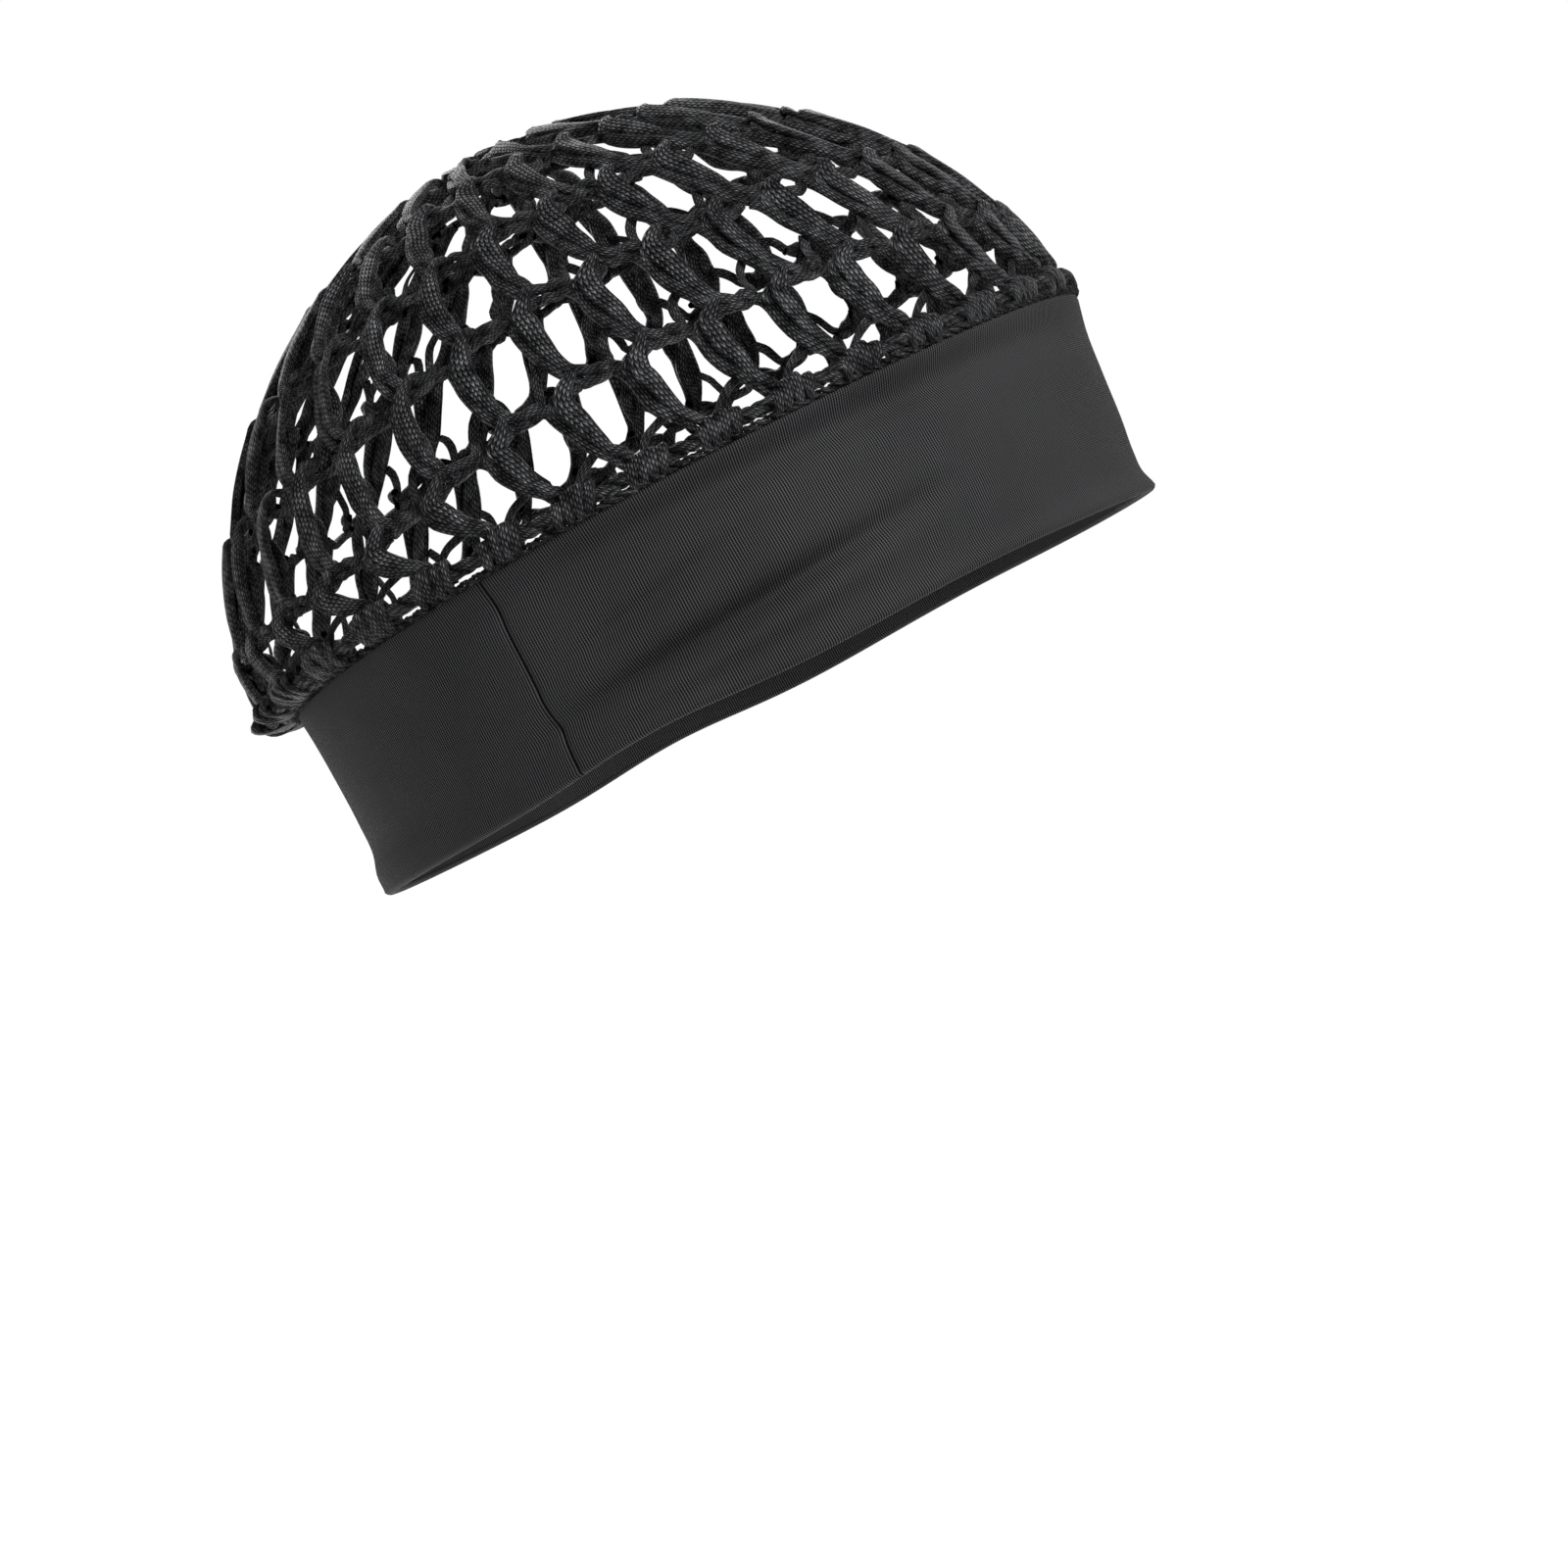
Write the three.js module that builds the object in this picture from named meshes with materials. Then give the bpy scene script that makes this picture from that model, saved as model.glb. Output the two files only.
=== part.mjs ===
// A hairnet in the form it has when worn: an open crocheted net dome, a close-stitched
// edging and a wide folded stretch band. Millimetres, +Z up, +X forward, and the whole cap
// leans back, so that its front is higher than its back.
import * as THREE from "three";

// The cap's lean and the plan that all pieces share.
const capLean = THREE.MathUtils.degToRad(28);
const eggShape = 0.05; // how much wider the plan is behind its middle
const pieceGap = 0.3; // clearance between pieces that touch

// The band, measured at the middle of its wall.
const bandHeight = 42.4;
const bandWall = 2;
const bandFront = 88;
const bandBack = 87.6;
const bandSide = 76;
const bandFlare = 4; // how far the top edge stands out in front of the waist above the hem
const foldRelief = 1; // height of the soft fold that runs along each side

// The close-stitched edging on the band's top edge.
const edgingHeight = 4.8;
const edgingBackHeight = 8; // it is drawn out longer where the net bags at the back
const edgingWall = 3;
const edgingTurn = THREE.MathUtils.degToRad(85); // how far it folds outwards at the back

// The net dome, measured at the middle of its yarn.
const netWall = 3;
const netRise = 81.5; // from the band's top edge to the crown
const frontBulge = 2; // how far the net stands out past the band's wall
const backBulge = 9.8;
const sideBulge = 1;
const crownSetback = 4; // how far the crown lies behind the middle of the plan
const postWidth = 4.2;
const chainWidth = 2.8;
const gapCorner = 3.2; // how far each gap's corners are cut back
const postLean = 0.33; // share of a pitch that a post runs forward on its way down
const crownRadius = 5.5; // the closed ring that the crochet starts from

// The dome's roundness in plan direction: 2 is an ellipse, less is flatter.
const domeRoundness = { front: 1.9, back: 1.82, side: 2.05 };

// Rounds of crochet from the edging up to the crown. Height counts in rounds of average
// height, and is the first round's own at the sides and in front.
const rounds = [
  { posts: 30, height: 0.85 },
  { posts: 30, height: 1.05 },
  { posts: 26, height: 1.1 },
  { posts: 18, height: 1.1 },
  { posts: 12, height: 1.05 },
  { posts: 6, height: 0.85 },
];
const backDroop = 10; // how far the chain above the first round drops towards the back

// The band's wall from the hem up: rise is a share of bandHeight, wall a share of bandWall,
// and front, back and side are outward shifts as shares of bandFlare.
const bandRows = [
  { rise: 0.03, wall: 1.2, front: -0.6, back: -0.2, side: -0.3 },
  { rise: 0.1, wall: 1, front: -0.95, back: 0, side: -0.35 },
  { rise: 0.36, wall: 1, front: -0.13, back: 0.05, side: 0 },
  { rise: 0.6, wall: 1, front: 0.1, back: 0.05, side: 0.05 },
  { rise: 0.82, wall: 1.1, front: 0.5, back: 0.05, side: 0.05 },
  { rise: 0.97, wall: 0.8, front: 0.6, back: 0.05, side: 0 },
];

// The soft fold on each side: where it starts and ends round the band in degrees from the
// front, and how high it lies there as a share of bandHeight.
const foldPath = { frontAngle: 45, frontRise: 0.62, backAngle: 125, backRise: 0.2, spread: 0.12 };

const bandSteps = 72;
const edgingSteps = 72;
const bandTop = bandHeight / 2;
const fullTurn = 2 * Math.PI;

// A value that goes smoothly from its side figure to its front or back figure.
function aroundCap(angle, row) {
  const along = Math.cos(angle);
  const end = along > 0 ? row.front : row.back;
  return row.side + (end - row.side) * along * along;
}

// How far towards the back an angle lies: 0 at the sides and in front, 1 behind.
function backShare(angle) {
  return Math.max(0, -Math.cos(angle)) ** 2;
}

// A point of a plan curve with the given reach, and its outward direction.
function planPoint(angle, reach) {
  const along = Math.cos(angle);
  const length = along > 0 ? reach.front : reach.back;
  return new THREE.Vector3(
    length * along,
    reach.side * Math.sin(angle) * (1 - eggShape * along),
    0,
  );
}

function planOut(angle, reach) {
  const step = 1e-3;
  const run = planPoint(angle + step, reach).sub(planPoint(angle - step, reach));
  return new THREE.Vector3(run.y, -run.x, 0).normalize();
}

// Angles that share a plan curve's length out evenly, for a share of the turn from 0 to 1.
function evenAngles(reach, steps = 720) {
  const reached = [0];
  let last = planPoint(0, reach);
  for (let step = 1; step <= steps; step += 1) {
    const next = planPoint((fullTurn * step) / steps, reach);
    reached.push(reached[step - 1] + next.distanceTo(last));
    last = next;
  }
  return (share) => {
    const turns = Math.floor(share);
    const wanted = (share - turns) * reached[steps];
    let step = 1;
    while (reached[step] < wanted) step += 1;
    const part = (wanted - reached[step - 1]) / (reached[step] - reached[step - 1]);
    return fullTurn * (turns + (step - 1 + part) / steps);
  };
}

const bandReach = { front: bandFront, back: bandBack, side: bandSide };
const netReach = {
  front: bandFront + frontBulge,
  back: bandBack + backBulge,
  side: bandSide + sideBulge,
};

// A closed ring lofted through one closed section at each step round the cap. A section is a
// list of points that runs clockwise as seen along the way round.
function ringGeometry(steps, sectionAt) {
  const sections = [];
  for (let step = 0; step < steps; step += 1) sections.push(sectionAt((fullTurn * step) / steps));
  const size = sections[0].length;
  const positions = sections.flat().flatMap((point) => point.toArray());
  const faces = [];
  for (let step = 0; step < steps; step += 1) {
    const here = step * size;
    const there = ((step + 1) % steps) * size;
    for (let corner = 0; corner < size; corner += 1) {
      const next = (corner + 1) % size;
      faces.push(here + corner, there + corner, there + next);
      faces.push(here + corner, there + next, here + next);
    }
  }
  return indexedGeometry(positions, faces);
}

function indexedGeometry(positions, faces) {
  const geometry = new THREE.BufferGeometry();
  geometry.setAttribute("position", new THREE.Float32BufferAttribute(positions, 3));
  geometry.setIndex(faces);
  geometry.computeVertexNormals();
  return geometry;
}

// Height of the soft fold at an angle and a rise.
function foldAt(angle, rise) {
  const turned = THREE.MathUtils.radToDeg(Math.acos(Math.cos(angle)));
  const along = (turned - foldPath.frontAngle) / (foldPath.backAngle - foldPath.frontAngle);
  if (along <= 0 || along >= 1) return 0;
  const middle = foldPath.frontRise + (foldPath.backRise - foldPath.frontRise) * along;
  const off = (rise - middle) / foldPath.spread;
  return foldRelief * Math.sin(Math.PI * along) * Math.exp(-off * off);
}

// The middle of the band's wall.
function bandPoint(angle, row) {
  const shift = bandFlare * aroundCap(angle, row) + foldAt(angle, row.rise);
  const point = planPoint(angle, bandReach).addScaledVector(planOut(angle, bandReach), shift);
  return point.setZ(bandHeight * row.rise - bandTop);
}

function bandSection(angle) {
  const out = planOut(angle, bandReach);
  const face = (side) =>
    bandRows.map((row) =>
      bandPoint(angle, row).addScaledVector(out, (side * row.wall * bandWall) / 2),
    );
  const hem = bandPoint(angle, bandRows[0]).setZ(-bandTop);
  const top = bandPoint(angle, bandRows[bandRows.length - 1]).setZ(bandTop);
  return [hem, ...face(1), top, ...face(-1).reverse()];
}

// The middle of the band's rounded top edge, on which the edging is sewn.
function bandEdge(angle) {
  return bandPoint(angle, bandRows[bandRows.length - 1]).setZ(bandTop - bandWall / 2);
}

// The edging at an angle: how far it folds outwards, and its end's distance from the band's
// edge.
function edgingLayout(angle) {
  const back = backShare(angle);
  return {
    fold: edgingTurn * back,
    start: bandWall / 2 + pieceGap,
    end: bandWall / 2 + pieceGap + edgingHeight + (edgingBackHeight - edgingHeight) * back,
  };
}

function edgingSection(angle) {
  const out = planOut(angle, bandReach);
  const up = new THREE.Vector3(0, 0, 1);
  const { fold, start, end } = edgingLayout(angle);
  const reachAxis = out.clone().multiplyScalar(Math.sin(fold)).addScaledVector(up, Math.cos(fold));
  const wallAxis = out.clone().multiplyScalar(Math.cos(fold)).addScaledVector(up, -Math.sin(fold));
  const half = edgingWall / 2;
  const bevel = half / 2;
  const corners = [
    { reach: start, wall: half - bevel },
    { reach: start + bevel, wall: half },
    { reach: end - bevel, wall: half },
    { reach: end, wall: half - bevel },
    { reach: end, wall: bevel - half },
    { reach: end - bevel, wall: -half },
    { reach: start + bevel, wall: -half },
    { reach: start, wall: bevel - half },
  ];
  return corners.map((corner) =>
    bandEdge(angle)
      .addScaledVector(reachAxis, corner.reach)
      .addScaledVector(wallAxis, corner.wall),
  );
}

// Where the middle of the net's rim sits on the edging.
function netRim(angle) {
  const { fold, end } = edgingLayout(angle);
  const out = planOut(angle, bandReach);
  const rim = bandEdge(angle).addScaledVector(out, (end - edgingWall / 2) * Math.sin(fold));
  rim.z += end * Math.cos(fold) + (edgingWall / 2) * Math.sin(fold) + pieceGap;
  return rim;
}

// A point of the dome at an angle round the cap and a lift from 0 at its base to a quarter
// turn at the crown.
function domePoint(angle, lift) {
  const power = 2 / aroundCap(angle, domeRoundness);
  const spread = Math.cos(lift) ** power;
  const point = planPoint(angle, netReach).multiplyScalar(spread);
  point.x -= crownSetback * (1 - spread);
  return point.setZ(bandTop + netRise * Math.sin(lift) ** power);
}

// The lifts between which the rounds share the dome out evenly.
const rimHeight = netRim(0).z - bandTop;
const rimLift = Math.asin((rimHeight / netRise) ** (domeRoundness.front / 2));
const crownLift = Math.acos((crownRadius / netReach.side) ** (domeRoundness.side / 2));

const roundTops = [0];
for (const { height } of rounds) roundTops.push(roundTops[roundTops.length - 1] + height);

// The lift at an angle and a level, which counts rounds from the rim. Behind the sides the
// chains drop, most at the top of the first round and not at all at the crown.
function liftAt(angle, level) {
  const below = Math.min(Math.floor(level), rounds.length - 1);
  const height = roundTops[below] + rounds[below].height * (level - below);
  const behind = THREE.MathUtils.smoothstep(-Math.cos(angle), 0, 0.75);
  const droop = (backDroop / netRise) * behind * Math.min(1, level) * (1 - level / rounds.length);
  return rimLift + ((crownLift - rimLift) * height) / roundTops[rounds.length] - droop;
}

// The net's middle surface. Share runs once round the cap. The first round starts on the
// edging and eases into the dome.
const netAngle = evenAngles(netReach);
function netPoint(share, level) {
  const angle = netAngle(share);
  const lift = liftAt(angle, level);
  const point = domePoint(angle, lift);
  const ease = Math.max(0, 1 - level);
  const pull = netRim(angle).sub(domePoint(angle, rimLift));
  return point.addScaledVector(pull, ease * ease * (3 - 2 * ease));
}

function netNormal(share, level) {
  const step = 1e-3;
  const round = netPoint(share + step, level).sub(netPoint(share - step, level));
  const rise = netPoint(share, level + step).sub(netPoint(share, level));
  return round.cross(rise).normalize();
}

// The mean length round the net at a level.
function netGirth(level, steps = 48) {
  let girth = 0;
  for (let step = 0; step < steps; step += 1)
    girth += netPoint(step / steps, level).distanceTo(netPoint((step + 1) / steps, level));
  return girth;
}

// The net: a wall with one gap between each two posts of each round. Every corner of the wall
// is a pair of points, one on its outer face and one on its inner face.
function netGeometry() {
  const positions = [];
  const faces = [];

  function addCorner(share, level) {
    const middle = netPoint(share, level);
    const out = netNormal(share, level);
    for (const side of [0.5, -0.5])
      positions.push(...middle.clone().addScaledVector(out, side * netWall).toArray());
    return positions.length / 6 - 1;
  }

  function addFace(a, b, c) {
    faces.push(2 * a, 2 * b, 2 * c);
    faces.push(2 * c + 1, 2 * b + 1, 2 * a + 1);
  }

  function addEdgeWall(a, b) {
    faces.push(2 * a, 2 * a + 1, 2 * b);
    faces.push(2 * b, 2 * a + 1, 2 * b + 1);
  }

  // Each chain line holds a corner for each post that ends on it, from below and from above.
  const chains = [];
  for (let level = 0; level <= rounds.length; level += 1) {
    const shares = [];
    if (level < rounds.length)
      for (let post = 0; post < rounds[level].posts; post += 1)
        shares.push(((post + postLean) / rounds[level].posts) % 1);
    if (level > 0)
      for (let post = 0; post < rounds[level - 1].posts; post += 1)
        shares.push(post / rounds[level - 1].posts);
    shares.sort((a, b) => a - b);
    const apart = shares.filter((share, i) => i === 0 || share - shares[i - 1] > 1e-6);
    chains.push(apart.map((share) => ({ share, corner: addCorner(share, level) })));
  }

  // The corners of a chain line from one share to another, both included.
  function chainStretch(level, from, to) {
    const found = [];
    for (const turn of [-1, 0, 1, 2])
      for (const { share, corner } of chains[level])
        if (share + turn > from - 1e-6 && share + turn < to + 1e-6)
          found.push({ share: share + turn, corner });
    return found.sort((a, b) => a.share - b.share);
  }

  rounds.forEach(({ posts }, level) => {
    const pitch = netGirth(level + 0.5) / posts;
    const height = netPoint(0.25, level).distanceTo(netPoint(0.25, level + 1));
    const middles = [];
    for (let post = 0; post < posts; post += 1)
      middles.push(addCorner((post + postLean / 2) / posts, level + 0.5));

    // The gap's outline in shares of the pitch and of the round's height.
    const left = postWidth / 2 / pitch;
    const low = (level === 0 ? chainWidth : chainWidth / 2) / height;
    const high = 1 - (level === rounds.length - 1 ? chainWidth : chainWidth / 2) / height;
    const cutAcross = Math.min(gapCorner / pitch, (1 - 2 * left) / 3);
    const cutUp = Math.min(gapCorner / height, (high - low) / 3);
    const gapOutline = [
      { across: left + cutAcross, up: low },
      { across: 1 - left - cutAcross, up: low },
      { across: 1 - left, up: low + cutUp },
      { across: 1 - left, up: high - cutUp },
      { across: 1 - left - cutAcross, up: high },
      { across: left + cutAcross, up: high },
      { across: left, up: high - cutUp },
      { across: left, up: low + cutUp },
    ];

    for (let post = 0; post < posts; post += 1) {
      const flat = (share, up) => new THREE.Vector2((share * posts - post) * pitch, up * height);
      const footStart = (post + postLean) / posts;
      const below = chainStretch(level, footStart, footStart + 1 / posts);
      const above = chainStretch(level + 1, post / posts, (post + 1) / posts).reverse();
      const rightMiddle = (post + 1 + postLean / 2) / posts;
      const leftMiddle = (post + postLean / 2) / posts;
      const outline = [
        ...below.map(({ share, corner }) => ({ corner, at: flat(share, 0) })),
        { corner: middles[(post + 1) % posts], at: flat(rightMiddle, 0.5) },
        ...above.map(({ share, corner }) => ({ corner, at: flat(share, 1) })),
        { corner: middles[post], at: flat(leftMiddle, 0.5) },
      ];
      const gap = gapOutline.map(({ across, up }) => {
        const share = (post + across + postLean * (1 - up)) / posts;
        return { corner: addCorner(share, level + up), at: flat(share, up) };
      });
      const corners = [...outline, ...gap].map(({ corner }) => corner);
      const triangles = THREE.ShapeUtils.triangulateShape(
        outline.map(({ at }) => at),
        [gap.map(({ at }) => at)],
      );
      for (const [a, b, c] of triangles) addFace(corners[a], corners[b], corners[c]);
      gap.forEach(({ corner }, i) => addEdgeWall(gap[(i + 1) % gap.length].corner, corner));
      if (level === 0)
        for (let i = 1; i < below.length; i += 1) addEdgeWall(below[i - 1].corner, below[i].corner);
    }
  });

  // The crown's ring is closed over.
  const crown = chains[rounds.length];
  const centre = domePoint(0, Math.PI / 2);
  for (const side of [0.5, -0.5]) positions.push(centre.x, centre.y, centre.z + side * netWall);
  const middle = positions.length / 6 - 1;
  crown.forEach(({ corner }, i) => addFace(corner, crown[(i + 1) % crown.length].corner, middle));
  return indexedGeometry(positions, faces);
}

// Finishes: black tape yarn with a soft sheen, and black jersey.
const tapeYarn = new THREE.MeshStandardMaterial({ color: 0x17181b, roughness: 0.55, metalness: 0 });
const jersey = new THREE.MeshStandardMaterial({ color: 0x1d1e21, roughness: 0.85, metalness: 0 });

function namedMesh(name, geometry, material) {
  const mesh = new THREE.Mesh(geometry, material);
  mesh.name = name;
  return mesh;
}

const cap = new THREE.Group();
cap.rotation.y = -capLean;
cap.add(namedMesh("stretch_band", ringGeometry(bandSteps, bandSection), jersey));
cap.add(namedMesh("net_edging", ringGeometry(edgingSteps, edgingSection), tapeYarn));
cap.add(namedMesh("crochet_net", netGeometry(), tapeYarn));

const hairnet = new THREE.Group();
hairnet.add(cap);

export default hairnet;
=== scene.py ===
"""Dresses a worn hairnet: crocheted tape yarn, a close-stitched edging and a jersey band.

Everything is in metres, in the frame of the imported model. The cap's form has the sizes of
its solids, and each piece of yarn and cloth lies on that form.
"""

from __future__ import annotations

import logging
import math
from collections.abc import Sequence
from dataclasses import astuple, dataclass, field
from enum import Enum
from functools import lru_cache

import bpy
import numpy as np
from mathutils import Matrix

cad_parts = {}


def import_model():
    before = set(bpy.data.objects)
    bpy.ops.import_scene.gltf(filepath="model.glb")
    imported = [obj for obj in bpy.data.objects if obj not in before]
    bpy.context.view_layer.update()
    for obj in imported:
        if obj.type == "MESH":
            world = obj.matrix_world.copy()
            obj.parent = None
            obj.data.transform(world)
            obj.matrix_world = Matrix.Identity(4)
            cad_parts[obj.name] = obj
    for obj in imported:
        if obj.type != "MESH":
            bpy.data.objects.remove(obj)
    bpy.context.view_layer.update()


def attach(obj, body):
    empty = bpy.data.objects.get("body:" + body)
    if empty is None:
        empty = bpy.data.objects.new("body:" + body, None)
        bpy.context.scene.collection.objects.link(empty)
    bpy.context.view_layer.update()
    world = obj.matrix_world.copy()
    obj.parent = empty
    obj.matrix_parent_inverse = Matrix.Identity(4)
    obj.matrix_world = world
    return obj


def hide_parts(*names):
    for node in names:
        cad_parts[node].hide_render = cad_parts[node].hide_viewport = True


LOG = logging.getLogger("hairnet")
MM = 0.001
FULL_TURN = 2 * math.pi
NUDGE = 1e-3
Shade = tuple[float, float, float]


class Section(Enum):
    """How flat a strand is: the power that shapes its cross section."""

    TAPE = 0.55
    CORD = 0.85


@dataclass(frozen=True)
class Around:
    """A size with one figure in front, one behind and one at the sides."""

    front: float
    back: float
    side: float

    def at(self, angle: np.ndarray) -> np.ndarray:
        """Gives the figure at each angle.

        Args:
            angle: Angles round the cap from the front, in radians.

        Returns:
            The figure, which changes smoothly from the sides to each end.
        """
        along = np.cos(angle)
        end = np.where(along > 0, self.front, self.back)
        return self.side + (end - self.side) * along**2


@dataclass(frozen=True)
class BandRow:
    """One height of the band: rise, wall and outward shifts as shares of the band's sizes."""

    rise: float
    wall: float
    front: float
    back: float
    side: float


@dataclass(frozen=True)
class Round:
    """One round of crochet: its posts, and its height in rounds of average height."""

    posts: int
    height: float


@dataclass(frozen=True)
class Fold:
    """A soft fold on each side: degrees from the front, shares of height, and its swell."""

    front_angle: float
    front_rise: float
    back_angle: float
    back_rise: float
    spread: float
    swell: float


def unit(vectors: np.ndarray) -> np.ndarray:
    """Scales each row to length one."""
    return vectors / np.maximum(np.linalg.norm(vectors, axis=1, keepdims=True), 1e-12)


def lengths_along(path: np.ndarray) -> np.ndarray:
    """Gives the length of a path up to each of its points."""
    return np.concatenate([[0], np.cumsum(np.linalg.norm(np.diff(path, axis=0), axis=1))])


def eased(share: np.ndarray) -> np.ndarray:
    """Eases shares between 0 and 1 in and out."""
    return share * share * (3 - 2 * share)


def from_front(angle: np.ndarray) -> np.ndarray:
    """Gives how far angles are from the front on either side, in degrees."""
    return np.degrees(np.arccos(np.cos(angle)))


def behind(angle: np.ndarray) -> np.ndarray:
    """Gives 1 straight behind, falling smoothly to 0 at the sides."""
    return np.maximum(0, -np.cos(angle)) ** 2


def through(wanted: np.ndarray, places: Sequence[float], values: Sequence[float]) -> np.ndarray:
    """Runs a smooth curve through a few values.

    Args:
        wanted: Where the curve is read.
        places: The places of the known values, rising.
        values: The known values.

    Returns:
        The curve's value at each wanted place.
    """
    x = np.asarray(places, float)
    y = np.asarray(values, float)
    slope = np.gradient(y, x)
    left = np.clip(np.searchsorted(x, wanted, side="right") - 1, 0, len(x) - 2)
    width = x[left + 1] - x[left]
    t = np.clip((wanted - x[left]) / width, 0, 1)
    start = (1 + 2 * t) * (1 - t) ** 2 * y[left] + t * (1 - t) ** 2 * width * slope[left]
    end = t**2 * (3 - 2 * t) * y[left + 1] + t**2 * (t - 1) * width * slope[left + 1]
    return start + end


def smooth_path(points: np.ndarray, steps: int) -> np.ndarray:
    """Fits a smooth path through chosen points.

    Args:
        points: The points, one a row, with any number of columns.
        steps: How many points the path has.

    Returns:
        The path's points.
    """
    places = np.arange(len(points), dtype=float)
    wanted = np.linspace(0, len(points) - 1, steps)
    columns = [through(wanted, places, points[:, i]) for i in range(points.shape[1])]
    return np.column_stack(columns)


@dataclass(frozen=True)
class CapForm:
    """The form that all pieces share, with the solids' sizes and a finer profile for the band.

    Angles run round the cap from the front, and a reach is half a length or a breadth. The
    posts are counted from foot_shift of a post past the front.
    """

    lean: float = math.radians(28)
    egg: float = 0.05
    piece_gap: float = 0.3 * MM
    band_height: float = 42.4 * MM
    band_wall: float = 2 * MM
    band_flare: float = 4 * MM
    band_reach: Around = Around(88 * MM, 87.6 * MM, 76 * MM)
    net_reach: Around = Around(90 * MM, 96.4 * MM, 77 * MM)
    edging_height: float = 4.8 * MM
    edging_back_height: float = 8 * MM
    edging_wall: float = 3 * MM
    edging_turn: float = math.radians(85)
    net_rise: float = 80.7 * MM
    crown_setback: float = 4 * MM
    crown_radius: float = 5.5 * MM
    back_droop: float = 10 * MM
    full_droop: float = 0.75
    foot_shift: float = 0.33
    plan_points: int = 1441
    roundness: Around = Around(1.9, 1.82, 2.05)
    folds: tuple[Fold, ...] = (
        Fold(48, 0.56, 128, 0.37, 0.085, 1.2 * MM),
        Fold(56, 0.42, 125, 0.22, 0.05, -2.9 * MM),
        Fold(58, 0.29, 122, 0.09, 0.055, 1.5 * MM),
        Fold(80, 0.66, 119, 0.44, 0.04, -1.0 * MM),
        Fold(5, 0.87, 132, 0.86, 0.09, -3.4 * MM),
    )
    band_rows: tuple[BandRow, ...] = (
        BandRow(0.03, 1.55, -0.62, 0.15, -0.2),
        BandRow(0.1, 1.3, -0.78, 0.2, -0.3),
        BandRow(0.2, 1.0, -0.66, -0.05, -0.2),
        BandRow(0.36, 1.0, -0.42, -0.15, -0.1),
        BandRow(0.6, 1.0, -0.16, -0.15, -0.15),
        BandRow(0.82, 1.1, 0.1, -0.1, -0.15),
        BandRow(0.97, 0.8, 0.55, 0.1, 0.1),
    )
    rounds: tuple[Round, ...] = (
        Round(34, 0.85),
        Round(34, 1.05),
        Round(30, 1.1),
        Round(26, 1.1),
        Round(18, 1.05),
        Round(9, 0.85),
    )

    @property
    def band_top(self) -> float:
        """The height of the band's top edge above the middle of the band."""
        return self.band_height / 2

    def world(self, points: np.ndarray) -> np.ndarray:
        """Leans points from the upright cap into the stored frame.

        Args:
            points: Points of the upright cap.

        Returns:
            The same points where the cap is held.
        """
        turned = points.copy()
        cosine = math.cos(self.lean)
        sine = math.sin(self.lean)
        turned[:, 0] = points[:, 0] * cosine - points[:, 2] * sine
        turned[:, 2] = points[:, 0] * sine + points[:, 2] * cosine
        return turned

    def plan(self, angle: np.ndarray, reach: Around) -> np.ndarray:
        """Gives points of a plan curve at height zero.

        Args:
            angle: Angles round the cap.
            reach: The curve's reach in front, behind and at the sides.

        Returns:
            The points.
        """
        along = np.cos(angle)
        length = np.where(along > 0, reach.front, reach.back)
        across = reach.side * np.sin(angle) * (1 - self.egg * along)
        return np.column_stack([length * along, across, np.zeros_like(along)])

    def plan_out(self, angle: np.ndarray, reach: Around) -> np.ndarray:
        """Gives the outward direction of a plan curve.

        Args:
            angle: Angles round the cap.
            reach: The curve's reach.

        Returns:
            The level directions.
        """
        run = self.plan(angle + NUDGE, reach) - self.plan(angle - NUDGE, reach)
        return unit(np.column_stack([run[:, 1], -run[:, 0], np.zeros(len(run))]))

    @lru_cache(maxsize=None)
    def even_table(self, reach: Around) -> tuple[np.ndarray, np.ndarray]:
        """Gives angles round a plan curve and the curve's length up to each."""
        angles = np.linspace(0, FULL_TURN, self.plan_points)
        return angles, lengths_along(self.plan(angles, reach))

    def girth(self, reach: Around) -> float:
        """Gives the length of a plan curve."""
        return float(self.even_table(reach)[1][-1])

    def even_angle(self, share: np.ndarray, reach: Around) -> np.ndarray:
        """Gives angles that share a plan curve's length out evenly.

        Args:
            share: Shares of the way round, from 0 in front, in any turn.
            reach: The plan curve's reach.

        Returns:
            The angle at each share.
        """
        angles, reached = self.even_table(reach)
        turns = np.floor(share)
        return FULL_TURN * turns + np.interp((share - turns) * reached[-1], reached, angles)

    def fold_at(self, angle: np.ndarray, rise: np.ndarray) -> np.ndarray:
        """Gives the height of the soft folds on the band's face.

        Args:
            angle: Angles round the cap.
            rise: Shares of the band's height.

        Returns:
            How far the face stands out at each place.
        """
        turned = from_front(angle)
        height = np.zeros(len(angle))
        for fold in self.folds:
            along = (turned - fold.front_angle) / (fold.back_angle - fold.front_angle)
            middle = fold.front_rise + (fold.back_rise - fold.front_rise) * along
            strength = np.sin(math.pi * np.clip(along, 0, 1))
            height += fold.swell * strength * np.exp(-(((rise - middle) / fold.spread) ** 2))
        return height

    def band_column(self, rise: np.ndarray, name: str) -> np.ndarray:
        """Reads one column of the band's rows.

        Args:
            rise: Where it is read, in shares of the band's height.
            name: The column.

        Returns:
            Its value at each rise.
        """
        values = [getattr(row, name) for row in self.band_rows]
        return through(rise, [row.rise for row in self.band_rows], values)

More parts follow.
